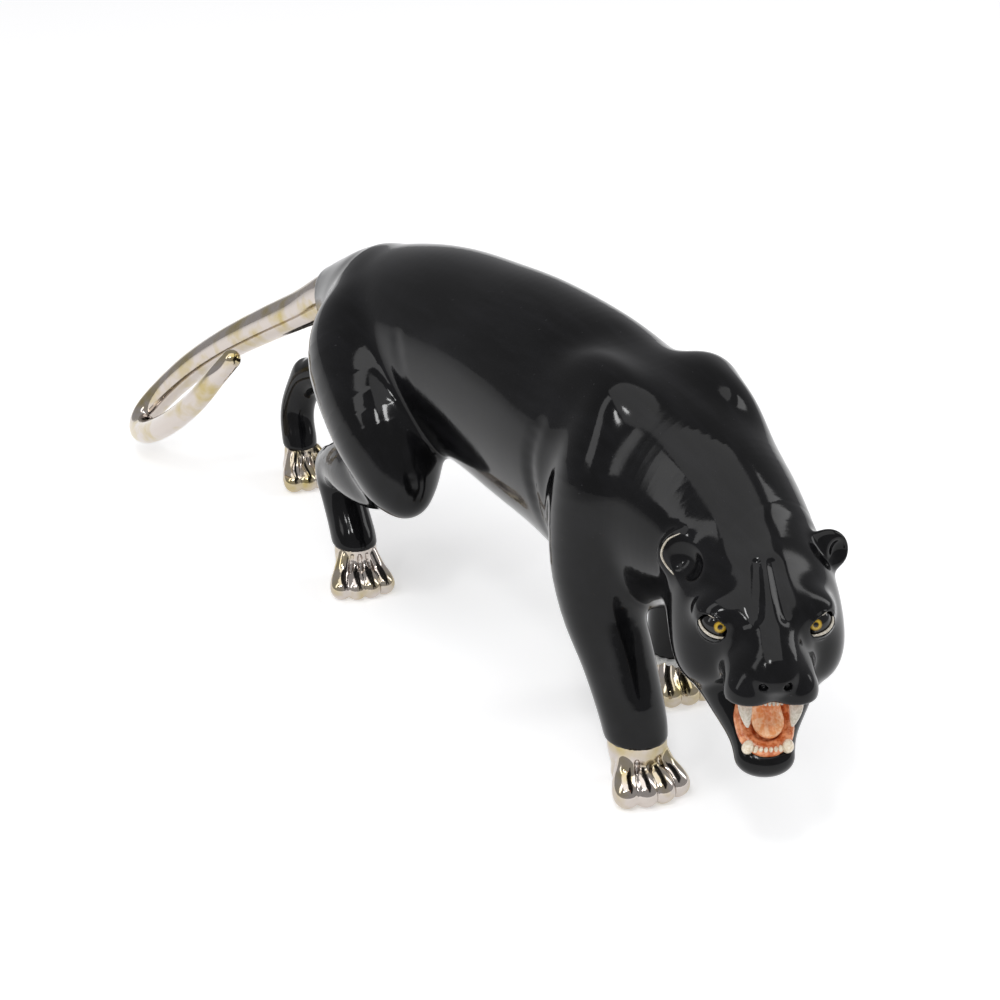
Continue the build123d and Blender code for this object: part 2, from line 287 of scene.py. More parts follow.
def addTube(name, path, slotName, nodes=(), around=12, ends=3):
    # rings of the path's own radius, closed by rounded ends
    path = np.array(path, float)
    heading = unit(np.gradient(path[:, :3], axis=0))
    side = unit(np.cross(heading[0], (0.3, 0.2, 1.0)))
    rings, normals = [], []
    lead = [(-math.cos(t), math.sin(t)) for t in np.linspace(0.15, math.pi / 2, ends, endpoint=False)]
    rows = [(0, p, w) for p, w in lead] + [(i, 0, 1) for i in range(len(path))]
    rows += [(len(path) - 1, -p, w) for p, w in reversed(lead)]
    turnAngles = np.linspace(0, 2 * math.pi, around, endpoint=False)
    for i, push, width in rows:
        side = unit(side - heading[i] * (side @ heading[i]))
        other = np.cross(heading[i], side)
        ring = np.cos(turnAngles)[:, None] * side + np.sin(turnAngles)[:, None] * other
        rings.append(path[i, :3] + heading[i] * push * path[i, 3] + ring * path[i, 3] * width)
        normals.append(unit(ring * width + heading[i] * push))
    count = len(rows)
    tips = [path[0, :3] - heading[0] * path[0, 3], path[-1, :3] + heading[-1] * path[-1, 3]]
    points = np.vstack(rings + tips)
    normals = np.vstack(normals + [-heading[0], heading[-1]])
    faces = []
    for r in range(count - 1):
        for k in range(around):
            n = (k + 1) % around
            faces.append([r * around + k, r * around + n, (r + 1) * around + n, (r + 1) * around + k])
    for k in range(around):
        n = (k + 1) % around
        faces.append([count * around, n, k])
        faces.append([count * around + 1, (count - 1) * around + k, (count - 1) * around + n])
    return addPiece(name, points, faces, normals, slotName, nodes)


print("tools ready")

# Legs: x, y, z and radius from the body to the ankle, which stops at the joint height
legs = {
    "right_front": dict(joint=28, turn=12, toe=6.6, path=[
        (-27, -79, 190, 15), (-33, -80, 158, 26), (-40, -81, 124, 24), (-42, -87, 95, 20.5),
        (-40, -99, 68, 18), (-39, -109, 45, 16.5), (-38, -114, 28, 15.5)]),
    "left_front": dict(joint=23, turn=5, toe=6.6, path=[
        (27, -79, 192, 15), (34, -71, 158, 26), (40, -53, 122, 24), (42, -47, 92, 19),
        (42, -47, 62, 16), (40, -47, 40, 14.5), (40, -47, 23, 14)]),
    "right_hind": dict(joint=25, turn=20, toe=6.0, path=[
        (-48, 92, 92, 14), (-45, 118, 84, 17), (-42, 142, 79, 16.5), (-37, 166, 72, 14),
        (-35, 177, 62, 12.5), (-35, 172, 48, 11.8), (-36, 164, 36, 12), (-38, 155, 25, 12.5)]),
    "left_hind": dict(joint=22, turn=8, toe=6.0, path=[
        (14, 174, 168, 18), (24, 168, 145, 34), (34, 192, 112, 29), (35, 212, 93, 23), (30, 242, 84, 17.5),
        (26, 275, 77, 13.5), (20, 298, 67, 11), (16, 306, 52, 10), (13, 306, 38, 10), (10, 298, 22, 10.5)]),
}
rightThigh = [(-16, 165, 166, 22), (-25, 150, 146, 37), (-39, 116, 122, 33), (-46, 94, 103, 24),
              (-49, 82, 90, 14)]
creases = [  # behind each shoulder and in front of each haunch
    [(-53, -44, 186, 2.0), (-57, -40, 160, 2.6), (-56, -46, 132, 2.4), (-52, -50, 108, 2)],
    [(-50, 96, 178, 2), (-57, 80, 150, 2.6), (-57, 70, 122, 2.4), (-54, 66, 100, 2)],
    [(53, -24, 180, 2), (57, -16, 150, 2.6), (56, -20, 118, 2)],
    [(48, 112, 172, 2), (54, 128, 146, 2.6), (53, 142, 118, 2)],
]

bodyShapes = [barrel(1.0)]
for leg in legs.values():
    bodyShapes.append(limb(leg["path"], 13, stop=((0, 0, leg["joint"]), (0, 0, -1.0))))
bodyShapes += [
    limb(rightThigh, 11),
    # shoulder blades, with the dip between them
    blob((-23, -62, 182), (18, 34, 30), 22),
    blob((20, -90, 180), (19, 34, 29), 24),
    limb([(-2, -110, 217, 7), (0, -78, 224, 8), (0, -46, 228, 7)], 20, cuts=True),
    # elbow, forearm and hock knuckles
    blob((-44, -66, 108), (10, 13, 17), 10),
    blob((42, -34, 104), (9, 12, 15), 9),
    blob((-36, 183, 67), (8.5, 8, 10), 6),
    blob((20, 305, 68), (8, 8, 9), 6),
    # root of the tail, glazed black as far as the lustre
    limb([(0, 176, 166, 27), (0, 202, 160, 20), (-1, 222, 154, 15.6), (-2, 236, 147, 14.2)], 16,
         stop=((-1, 226, 152), (-0.1, 0.85, -0.52))),
    # neck
    limb([(-2, -88, 152, 42), (-5, -125, 148, 40), (-9, -150, 139, 38), (-15, -168, 130, 36)], 22),
]
bodyShapes += [limb(crease, 9, cuts=True) for crease in creases]

skull = [
    headBlob(0, -6, 6, (39.5, 38, 36), 22),
    headBlob(-26, 5, -4, (13.5, 19, 18), 14),
    headBlob(26, 5, -4, (13.5, 19, 18), 14),
    headBlob(0, 12, 8, (28, 24, 25), 12),
    headBlob(0, 35, -3, (21, 21, 15), 12),
    headLimb([(0, 6, 25, 17), (0, 22, 17.5, 15), (0, 36, 9, 12.5), (0, 46, 2, 11)], 12),
    # brows, soft over each eye
    headBlob(-17, 20, 20, (15, 11, 9), 14),
    headBlob(17, 20, 20, (15, 11, 9), 14),
    # inner corners of the eyes
    headBlob(-14, 29, 9, (5, 5, 6), 6),
    headBlob(14, 29, 9, (5, 5, 6), 6),
    # jaw
    headLimb([(-20, 0, -16, 12), (-14, 12, -27, 10.5), (-8, 24, -39, 8.5), (-5.5, 32, -47, 8)], 8),
    headLimb([(20, 0, -16, 12), (14, 12, -27, 10.5), (8, 24, -39, 8.5), (5.5, 32, -47, 8)], 8),
    headLimb([(0, 0, -24, 15), (0, 18, -37, 11), (0, 30, -47, 9)], 8),
    headBlob(0, 34, -49.5, (13.6, 10.5, 8.6), 5),
    # ears
    headBlob(-36, -13, 36.5, (11, 4.6, 11.5), 9),
    headBlob(34.5, -13, 36, (10, 4.8, 10.5), 8),
    headBlob(-37, 3.2, 38, (9, 12, 9.5), 5, cuts=True),
    headBlob(40.5, -4, 37, (7, 9, 8), 3, cuts=True),
    # furrows between the brows
    headLimb([(-7, 38, 24, 1.0), (-5.4, 29, 33, 1.6), (-4, 16, 42, 1.0)], 7, cuts=True, parts=8),
    headLimb([(7, 38, 24, 1.0), (5.4, 29, 33, 1.6), (4, 16, 42, 1.0)], 7, cuts=True, parts=8),
]
mouthPads = [
    headBlob(-10.4, 44, -9.4, (11.6, 13, 11.4), 5),
    headBlob(10.4, 44, -9.4, (11.6, 13, 11.4), 5),
    headBlob(0, 53, -1.2, (9.4, 6.5, 6.6), 4),
    headLimb([(0, 60, -8, 1.2), (0, 58.5, -13, 2.0), (0, 55, -21, 3.0)], 4, cuts=True, parts=6),
    headLimb([(-4.4, 62, -3.6, 1.3), (-5.8, 57, -2.6, 1.8)], 1.6, cuts=True),
    headLimb([(4.4, 62, -3.6, 1.3), (5.8, 57, -2.6, 1.8)], 1.6, cuts=True),
]


def mouthDistance(points, inset=0.0):
    # the open mouth: a wedge that widens past its corners
    local = (points - headCentre) @ headAxes.T
    x, f, u = local[:, 0], local[:, 1], local[:, 2]
    gape = math.radians(head["gape"])
    hf, hu = head["hinge"]
    roof = u - head["roof"]
    floor = -((u - hu) * math.cos(gape) + (f - hf) * math.sin(gape))
    depth = np.clip(-floor, 0, 30)
    halfWidth = 11 + 0.30 * depth + 0.04 * (f - hf) + 1.3 * np.maximum(f - 31, 0)
    value = blendMax(blendMax(roof, floor, 6), np.abs(x) - halfWidth, 6)
    return blendMax(value, hf - 3 - f, 5) + inset


mouthMiddle, mouthReach = atHead(0, 34, -28), 62
mouthCut = (mouthMiddle - mouthReach, mouthMiddle + mouthReach, mouthDistance, 2.6, True)

# Eyes: each lid is a thin cap on the ball, either side of the slanted opening
eye = dict(spread=22.5, forward=24, up=15.5, radius=8.0, lid=1.1, lean=27, gap=0.6, line=0.75)
eyeCentres = {-1: atHead(-eye["spread"], eye["forward"], eye["up"]),
              1: atHead(eye["spread"], eye["forward"], eye["up"])}


def eyeAxes(side):
    inner, outer = np.array([side * 15.5, 31, 10.5]), np.array([side * 31, 22, 19])
    along = unit((outer - inner) @ headAxes)
    gaze = np.array([side * 0.12, 1.0, -0.02]) @ headAxes
    gaze = unit(gaze - along * (gaze @ along))
    up = np.cross(along, gaze)
    return along, gaze, up * np.sign(up @ headUp)


def lidShape(side, upper):
    _, gaze, up = eyeAxes(side)
    lean = math.radians(eye["lean"])
    outward = (up if upper else -up) * math.cos(lean) - gaze * math.sin(lean)
    centre = eyeCentres[side]

    def shape(points):
        local = points - centre
        return blendMax(np.linalg.norm(local, axis=1) - eye["radius"] - eye["lid"], 0.2 - local @ outward, 1.4)
    reach = eye["radius"] + 12
    return centre - reach, centre + reach, shape, 2.2, False


sockets = [blob(eyeCentres[s], (eye["radius"] + eye["gap"],) * 3, 2.5, cuts=True) for s in (-1, 1)]
lids = [lidShape(s, u) for s in (-1, 1) for u in (True, False)]
solidHead = bodyShapes + skull + mouthPads
blackField = fieldOf(solidHead + [mouthCut] + sockets + lids + [
    blob(eyeCentres[s], (eye["radius"] + 0.02,) * 3, 0.3, cuts=True) for s in (-1, 1)])

neckY, frontLegTop, hindLegTop = torso["front"], 74, 85  # where the castings part


def bodyLabel(x, y, z):
    if y < neckY and z > 80:
        return "spare"
    if y < 20 and z < frontLegTop:
        return "right_front_leg" if x < 0 else "left_front_leg"
    if y > 20 and z < hindLegTop:
        return "right_hind_leg" if x < 0 or (y < 150 and x < 10) else "left_hind_leg"
    return "torso"


bodyStep = 1.7
points, quads = surfaceOf(blackField, (-76, -136, 16), (72, 330, 232), bodyStep)
cuts = [
    ((0, neckY, 0), (0, 1, 0), lambda x, y, z: abs(y - neckY) < 5 and z > 80),
    ((0, 0, frontLegTop), (0, 0, 1), lambda x, y, z: y < 20 and abs(z - frontLegTop) < 5),
    ((0, 0, hindLegTop), (0, 0, 1), lambda x, y, z: y > 20 and abs(z - hindLegTop) < 5),
]
points, sortedFaces = splitShell(points, quads, cuts, bodyLabel)
normals = unit(slopeOf(blackField, points))
for name in ("torso", "right_front_leg", "left_front_leg", "right_hind_leg", "left_hind_leg"):
    addPiece(f"glazed_{name}", points, sortedFaces[name], normals, "black_glaze", (name,), torso["wall"] - 1)
print("body cast", len(points))

jawCorner, jawBack, jawLean = (30, -17), (0.8, -0.6), math.radians(head["gape"])
earPlane, earSide = 45.0, (0.64, 0.77)
headWall, earWall = 1.6, 1.2


def headLocal(x, y, z):
    return (np.array([x, y, z]) - headCentre) @ headAxes.T


def jawSides(local):
    f, u = local[1] - jawCorner[0], local[2] - jawCorner[1]
    return f * jawBack[0] + u * jawBack[1], -f * math.sin(jawLean / 2) - u * math.cos(jawLean / 2)


def earDepth(local, side):
    return side * local[0] * earSide[0] + local[2] * earSide[1] - earPlane


def headLabel(x, y, z):
    local = headLocal(x, y, z)
    if y > neckY or (z < 84 and y > -150):
        return "spare"
    back, below = jawSides(local)
    if back > 0 and below > 0:
        return "lower_jaw"
    for side, name in ((-1, "right_ear"), (1, "left_ear")):
        if earDepth(local, side) > 0 and local[1] < 4:
            return name
    return "head"


def inFigure(local):
    return np.array(local, float) @ headAxes


def nearJaw(x, y, z):
    back, below = jawSides(headLocal(x, y, z))
    return abs(back) < 4 and below > -3


def nearEar(side):
    def near(x, y, z):
        local = headLocal(x, y, z)
        return abs(earDepth(local, side)) < 4 and local[1] < 5
    return near


earNormals = {s: inFigure((s * earSide[0], 0, earSide[1])) for s in (-1, 1)}
headCuts = [((0, neckY, 0), (0, 1, 0), lambda x, y, z: abs(y - neckY) < 4),
            (atHead(0, *jawCorner), inFigure((0, *jawBack)), nearJaw)]
for side in (-1, 1):
    earSpot = headCentre + earNormals[side] * earPlane / np.hypot(*earSide) ** 2
    headCuts.append((earSpot, earNormals[side], nearEar(side)))
headStep = 0.85
points, quads = surfaceOf(blackField, (-84, -256, 52), (46, neckY + 6, 212), headStep)
points, sortedFaces = splitShell(points, quads, headCuts, headLabel)
normals = unit(slopeOf(blackField, points, 0.15))
for name in ("head", "lower_jaw", "left_ear", "right_ear"):
    wall = earWall if "ear" in name else headWall
    addPiece(f"glazed_{name}", points, sortedFaces[name], normals, "black_glaze", (name,), wall)
print("head cast", len(points))

# Mouth: lining, gum, tongue and teeth
solidField = fieldOf(solidHead)


def liningField(points):
    skin = np.abs(mouthDistance(points, 0.55)) - 0.5
    return blendMax(skin, solidField(points) + 2.2, 0.8)


mouthBox = (atHead(0, 28, -26) - 34, atHead(0, 28, -26) + 34)
fine = 0.5
addCast("mouth_lining", liningField, *mouthBox, fine * 1.2, "gum_glaze")


def atBite(left, forward, up):
    gape = math.radians(head["gape"])
    hf, hu = head["hinge"]
    return atHead(left, hf + forward * math.cos(gape) + up * math.sin(gape),
                  hu - forward * math.sin(gape) + up * math.cos(gape))


def biteAxes():
    origin = atBite(0, 0, 0)
    return np.array([atBite(1, 0, 0) - origin, atBite(0, 1, 0) - origin, atBite(0, 0, 1) - origin])


def biteLimb(joints, blend, **rest):
    return limb([(*atBite(*j[:3]), j[3]) for j in joints], blend, **rest)


bite = biteAxes()
tongueShapes = [
    blob(atBite(0, 16, 6.0), (8.0, 17, 5.2), 3, bite),
    blob(atBite(1.0, 30, 5.0), (7.6, 9.5, 3.9), 4, bite),
    biteLimb([(0.3, 12, 11.8, 1.2), (0.6, 25, 10.4, 1.2), (1.0, 36, 8.4, 0.8)], 2.4, cuts=True),
]
addCast("tongue_painted", tongueShapes, *mouthBox, fine, "tongue_glaze", ("tongue",))
gumPath = [(-11, 16, 0.5, 3.0), (-10.6, 28, 0.8, 3.0), (-9, 37, 0.8, 2.8), (-4.5, 42, 0.6, 2.6),
           (0, 43, 0.6, 2.6), (4.5, 42, 0.6, 2.6), (9, 37, 0.8, 2.8), (10.6, 28, 0.8, 3.0), (11, 16, 0.5, 3.0)]
gumShapes = [biteLimb(gumPath, 1.5), blob(atBite(0, 27, -1), (11, 16, 3.0), 3, bite)]
addCast("lower_gum_band", gumShapes, *mouthBox, fine, "gum_glaze", ("lower_gum",))
palateShapes = [headBlob(0, 30, -13.4, (12, 17, 2.2), 1)]
addCast("palate_ridged", palateShapes, *mouthBox, fine, "gum_glaze", ("palate",))


def toothRow(place, count, pitch, radius, length, lean, arc):
    row = []
    for i in range(count):
        x = (i - (count - 1) / 2) * pitch
        back = arc * (x / (pitch * count / 2)) ** 2
        size = radius * (1.12 if abs(i - (count - 1) / 2) > 2 else 1)
        row.append(limb([(*place(x, -back, 0), size), (*place(x, -back + lean, length), size * 0.72)], 0.25))
    return row


lowerRow = toothRow(lambda x, f, u: atBite(x, 44.6 + f, 1.6 + u), 6, 2.3, 1.25, 3.0, 0.2, 1.2)
addCast("lower_incisor_row", lowerRow, *mouthBox, fine * 0.7, "tooth_lustre", ("lower_incisors",))
upperRow = toothRow(lambda x, f, u: atHead(x, 48.0 + f, -12.5 - u), 6, 1.9, 1.0, 3.0, 0.3, 1.6)
addCast("upper_incisor_row", upperRow, *mouthBox, fine * 0.7, "tooth_glaze", ("upper_incisors",))
for side, name in ((-1, "right"), (1, "left")):
    upperPath = [(side * 12.0, 44.5, -13, 3.3), (side * 11.6, 46, -20, 2.5), (side * 10.4, 45.5, -27.5, 0.7)]
    addCast(f"{name}_upper_fang", [headLimb(upperPath, 0.5)], *mouthBox, fine * 0.8, "tooth_glaze",
            (f"{name}_upper_canine",))
    lowerPath = [(side * 9.4, 42.5, 0.5, 2.1), (side * 9.4, 43, 4.0, 1.6), (side * 9.0, 42.5, 7.0, 0.8)]
    addCast(f"{name}_lower_fang", [biteLimb(lowerPath, 0.5)], *mouthBox, fine * 0.8, "tooth_lustre",
            (f"{name}_lower_canine",))
print("mouth made")

# Eyes: balls whose painted iris faces along the object's own Z
for side, name in ((-1, "right"), (1, "left")):
    ball = bmesh.new()
    bmesh.ops.create_icosphere(ball, subdivisions=5, radius=eye["radius"] * mm)
    mesh = bpy.data.meshes.new(f"{name}_eyeball")
    ball.to_mesh(mesh)
    ball.free()
    mesh.polygons.foreach_set("use_smooth", [True] * len(mesh.polygons))
    piece = bpy.data.objects.new(f"{name}_eyeball", mesh)
    bpy.context.scene.collection.objects.link(piece)
    look = unit(inFigure((0.02 if side < 0 else -0.06, 1, 0.14)))
    piece.matrix_world = Matrix.Translation(Vector((eyeCentres[side] + shift) * mm)) @ \
        Vector(look).to_track_quat("Z", "Y").to_matrix().to_4x4()
    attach(piece, "root")
    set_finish(piece, "eye_enamel")
    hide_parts(f"{name}_eye")
    pieces[piece.name] = piece


def onSurface(field, joints, lift, radius, parts=6):
    # a line laid on the glaze, with thin ends
    path = smoothPath([(*j, 1) for j in joints], parts)
    spots = path[:, :3]
    for _ in range(6):
        slope = slopeOf(field, spots)
        spots = spots - slope * (field(spots) / np.maximum((slope ** 2).sum(1), 0.3))[:, None]
    spots = spots + unit(slopeOf(field, spots)) * lift
    ease = np.sin(np.linspace(0.12, math.pi - 0.12, len(spots))) ** 0.5
    return np.column_stack([spots, radius * ease])


for side, name in ((-1, "right"), (1, "left")):
    along, gaze, up = eyeAxes(side)
    for upper, turnRange, radius in ((False, (-62, 66), 0.7), (True, (8, 58), 0.24)):
        lean = math.radians(eye["lean"])
        front = gaze * math.cos(lean) + (up if upper else -up) * math.sin(lean)
        edge = [eyeCentres[side] + (front * math.cos(t) + along * math.sin(t)) * (eye["radius"] + eye["line"])
                for t in np.radians(np.linspace(*turnRange, 9))]
        path = np.column_stack([np.array(edge), radius * np.sin(np.linspace(0.3, math.pi - 0.25, 9)) ** 0.6])
        addTube(f"{name}_{'upper' if upper else 'lower'}_lid_line", smoothPath(path, 4), "tooth_glaze", around=10)
rimPath = [(-37, -8, 27), (-42.5, -9, 31), (-45.2, -10, 37), (-42.6, -10, 44), (-36.5, -10, 47.3)]
rimSpots = [atHead(*joint) for joint in rimPath]
addTube("right_ear_rim_line", onSurface(blackField, rimSpots, 0.1, 0.55), "tooth_glaze", around=10)
print("face made")

# Paws: four toes with deep grooves, flat on the floor, and a twisted bead round one ankle
bead = dict(strand=1.45, coil=1.1, drop=1.6, wraps=9, core=1.9, melt=0.8)
for name, leg in legs.items():
    x, y, _, ankle = leg["path"][-1]
    turned = math.radians(leg["turn"])
    left = np.array([math.cos(turned), -math.sin(turned), 0])
    forward = np.array([-math.sin(turned), -math.cos(turned), 0])
    toe, joint = leg["toe"], leg["joint"]

    def spot(l, f, u, r):
        return (*(np.array([x, y, 0]) + left * l + forward * f + np.array([0, 0, u])), r)

    shapes = [
        limb([spot(0, 0, joint + 2, ankle - 1.2), spot(0, 0, joint - 5, ankle - 1.2),
              spot(0, 1, 11, toe * 1.75)], 2, melt=3),
        blob(spot(0, 3, 8.5, 0)[:3], (toe * 2.1, toe * 2.3, 9.5), 4, np.array([left, forward, [0, 0, 1]])),
    ]
    for step in (-1.5, -0.5, 0.5, 1.5):
        reach = 21 - 2.6 * (abs(step) - 0.5)
        knuckles = [spot(step * toe * 0.72, 5, joint - 1.5, toe * 0.72),
                    spot(step * toe * 1.08, 10, toe * 2.15, toe * 0.86),
                    spot(step * toe * 1.30, reach - 4, toe * 1.45, toe * 0.98),
                    spot(step * toe * 1.40, reach, toe * 1.02, toe * 1.04)]
        shapes.append(limb(knuckles, 1.0, melt=2))
    for step in (-1, 0, 1):
        groove = [spot(step * toe * 0.74, 11.5, joint - 2, 0.8),
                  spot(step * toe * 1.05, 14.5, toe * 2.35, 0.9),
                  spot(step * toe * 1.3, 23, toe * 1.3, 1.1)]
        shapes.append(limb(groove, 1.4, cuts=True))
    rough = fieldOf(shapes)

    def pawField(points, rough=rough, joint=joint):
        value = blendMax(rough(points), -points[:, 2], 0.8)
        return blendMax(value, points[:, 2] - joint - 1, 0.5)

    middle = np.array([x, y, 0]) + forward * 8
    addCast(f"{name}_paw_lustred", pawField, middle - (34, 34, 2.0), middle + (34, 34, joint + 4), fine * 1.3,
            "platinum_lustre", (f"{name}_paw",))
    if name == "left_front":
        def beadSpot(t, out, rise, radius):
            return x + math.cos(t) * out, y + math.sin(t) * out, joint - bead["drop"] + rise, radius

        turns = np.linspace(0, 2 * math.pi, 73)
        core = [beadSpot(t, ankle - 0.6, 0, bead["core"]) for t in turns[::3]]
        strands = [limb(core, bead["melt"], parts=1, melt=1)]
        for phase in (0, math.pi):
            ring = [beadSpot(t, ankle - 0.2 + bead["coil"] * math.cos(w), bead["coil"] * math.sin(w), bead["strand"])
                    for t, w in zip(turns, turns * bead["wraps"] + phase)]
            strands.append(limb(ring, bead["melt"], parts=1, melt=1.0))
        beadMiddle, beadReach = np.array([x, y, joint - 2]), (21, 21, 6)
        addCast("cement_bead_twisted", strands, beadMiddle - beadReach, beadMiddle + beadReach, fine,
                "white_cement", ("cement_bead",))
print("paws made")

tail = dict(root=13.6, turn=8.4, tip=6.0, turnShare=0.55, path=[
    (0, 206, 161), (-1, 231, 150), (-4, 262, 131), (-11, 299, 109), (-20, 336, 85), (-30, 366, 61),
    (-41, 387, 38), (-51, 393, 24), (-59, 383, 20), (-64, 360, 28), (-66, 326, 48), (-64, 296, 72), (-58, 280, 92), (-51, 272, 105)])
spots = smoothPath([(*p, 1) for p in tail["path"]], 18)
share = np.linspace(0, 1, len(spots))
spots[:, 3] = np.interp(share, [0, 0.08, 0.16, 0.3, tail["turnShare"], 0.85, 1],
                        [tail["root"], tail["root"], 11.6, 10.2, tail["turn"], 6.8, tail["tip"]])
addTube("tail_lustred", spots, "platinum_lustre", ("tail",), around=56, ends=14)
print("tail made")


def hexColour(text):
    channels = [int(text[i:i + 2], 16) / 255 for i in (1, 3, 5)]
    return (*[c / 12.92 if c <= 0.04045 else ((c + 0.055) / 1.055) ** 2.4 for c in channels], 1)


def perMetre(size):
    return 1 / (size * mm)  # noise scale for a feature size in millimetres


def addNode(tree, kind, inputs=None, **settings):
    node = tree.nodes.new(kind)
    for name, value in settings.items():
        setattr(node, name, value)
    for name, value in (inputs or {}).items():
        socket = node.inputs[name]
        if isinstance(value, bpy.types.NodeSocket):
            tree.links.new(value, socket)
        else:
            socket.default_value = value
    return node


def newFinish(name):
    finish = bpy.data.materials.new(name)
    finish.use_nodes = True
    finish.node_tree.nodes.clear()
    return finish, finish.node_tree


def spread(tree, fac, low, high, fromMin=0.35, fromMax=0.65):
    return addNode(tree, "ShaderNodeMapRange", {"Value": fac, "From Min": fromMin, "From Max": fromMax,
                                                "To Min": low, "To Max": high}).outputs["Result"]


def mixColours(tree, factor, first, second):
    mixed = addNode(tree, "ShaderNodeMix", {"Factor": factor, "A": first, "B": second}, data_type="RGBA")
    return mixed.outputs["Result"]


def closeFinish(tree, settings):
    shader = addNode(tree, "ShaderNodeBsdfPrincipled", settings)
    addNode(tree, "ShaderNodeOutputMaterial", {"Surface": shader.outputs["BSDF"]})


def noiseOf(tree, coords, size, detail=3.0, rough=0.5):
    return addNode(tree, "ShaderNodeTexNoise", {"Vector": coords, "Scale": perMetre(size), "Detail": detail,
                                                "Roughness": rough}).outputs["Fac"]


def blackGlaze(values):
    # fired black glaze: deep and wet-looking, with faint brush drag and a few dust specks
    finish, tree = newFinish("blackGlazedStoneware")
    coords = addNode(tree, "ShaderNodeTexCoord").outputs["Object"]
    drag = addNode(tree, "ShaderNodeMapping", {"Vector": coords, "Rotation": (0.5, 0.2, 0.7),
                                               "Scale": (1, 0.16, 0.5)}).outputs["Vector"]
    brush = noiseOf(tree, drag, values["brush"], 5, 0.62)
    dust = noiseOf(tree, coords, values["dust"], 1)
    cloud = noiseOf(tree, coords, values["cloud"], 2)
    tone = mixColours(tree, spread(tree, brush, 0, 1, 0.42, 0.72), hexColour(values["deep"]),
                      hexColour(values["thin"]))
    specks = mixColours(tree, spread(tree, dust, 0, 0.5, 0.76, 0.8), tone, hexColour(values["speck"]))
    rough = spread(tree, cloud, values["rough"][0], values["rough"][1])
    peel = noiseOf(tree, coords, values["peel"], 2)
    height = addNode(tree, "ShaderNodeMath", {0: peel, 1: brush}, operation="ADD").outputs["Value"]
    bump = addNode(tree, "ShaderNodeBump", {"Height": height, "Strength": values["bump"], "Distance": 0.12 * mm})
    closeFinish(tree, {"Base Color": specks, "Roughness": rough, "Normal": bump.outputs["Normal"],
                       "IOR": 1.5, "Specular IOR Level": values["shine"]})
    return finish


def platinumLustre(values):
    # platinum lustre over glaze: mirror bright, warm grey, yellowed in patches and faintly pitted
    finish, tree = newFinish("platinumLustreOverGlaze")
    coords = addNode(tree, "ShaderNodeTexCoord").outputs["Object"]
    patch = noiseOf(tree, coords, values["patch"], 3)
    tone = mixColours(tree, spread(tree, patch, 0, 1, 0.45, 0.7), hexColour(values["metal"]),
                      hexColour(values["yellow"]))
    wear = noiseOf(tree, coords, values["wear"], 4)
    pits = noiseOf(tree, coords, values["pits"], 2)
    bump = addNode(tree, "ShaderNodeBump", {"Height": pits, "Strength": values["bump"], "Distance": 0.1 * mm})
    closeFinish(tree, {"Base Color": tone, "Metallic": 1.0, "Normal": bump.outputs["Normal"],
                       "Roughness": spread(tree, wear, values["rough"][0], values["rough"][1])})
    return finish


def paintedGlaze(name, values):
    # clear glaze over brushed underglaze colour: two tones in streaks, softly rippled
    finish, tree = newFinish(name)
    coords = addNode(tree, "ShaderNodeTexCoord").outputs["Object"]
    streak = noiseOf(tree, coords, values["streak"], 4, 0.6)
    tone = mixColours(tree, spread(tree, streak, 0, 1, 0.4, 0.62), hexColour(values["base"]),
                      hexColour(values["second"]))
    bump = addNode(tree, "ShaderNodeBump", {"Height": streak, "Strength": values["bump"], "Distance": 0.25 * mm})
    wear = noiseOf(tree, coords, values["streak"] * 2.5, 2)
    closeFinish(tree, {"Base Color": tone, "Normal": bump.outputs["Normal"], "IOR": 1.5,
                       "Roughness": spread(tree, wear, values["rough"][0], values["rough"][1])})
    return finish


def eyeEnamel(values):
    # painted and glazed eyeball: black pupil, golden ring, black round it
    finish, tree = newFinish("paintedEyeEnamel")
    coords = addNode(tree, "ShaderNodeTexCoord").outputs["Object"]
    parts = addNode(tree, "ShaderNodeSeparateXYZ", {"Vector": coords})
    flat = addNode(tree, "ShaderNodeCombineXYZ", {"X": parts.outputs["X"], "Y": parts.outputs["Y"]})
    radius = addNode(tree, "ShaderNodeVectorMath", {0: flat.outputs["Vector"]}, operation="LENGTH").outputs["Value"]
    wobble = noiseOf(tree, coords, 1.5, 2)
    ringAt = addNode(tree, "ShaderNodeMath", {0: wobble, 1: values["wobble"] * mm, 2: radius}, operation="MULTIPLY_ADD")
    span = eye["radius"]
    ramp = addNode(tree, "ShaderNodeValToRGB", {"Fac": spread(tree, ringAt.outputs["Value"], 0, 1, 0, span * mm)})
    inner, outer = values["inner"] / span, values["outer"] / span
    stops = [(0.0, values["pupil"]), (inner, values["pupil"]), (inner + 0.03, values["iris"]),
             ((inner + outer) / 2, values["glow"]), (outer, values["iris"]), (outer + 0.04, values["pupil"])]
    while len(ramp.color_ramp.elements) < len(stops):
        ramp.color_ramp.elements.new(0.5)
    for element, (position, colour) in zip(ramp.color_ramp.elements, stops):
        element.position = position
        element.color = hexColour(colour)
    above = addNode(tree, "ShaderNodeMath", {0: parts.outputs["Z"], 1: 0.0}, operation="GREATER_THAN")
    tone = mixColours(tree, above.outputs["Value"], hexColour(values["pupil"]), ramp.outputs["Color"])
    closeFinish(tree, {"Base Color": tone, "Roughness": spread(tree, wobble, 0.05, 0.1), "IOR": 1.5})
    return finish


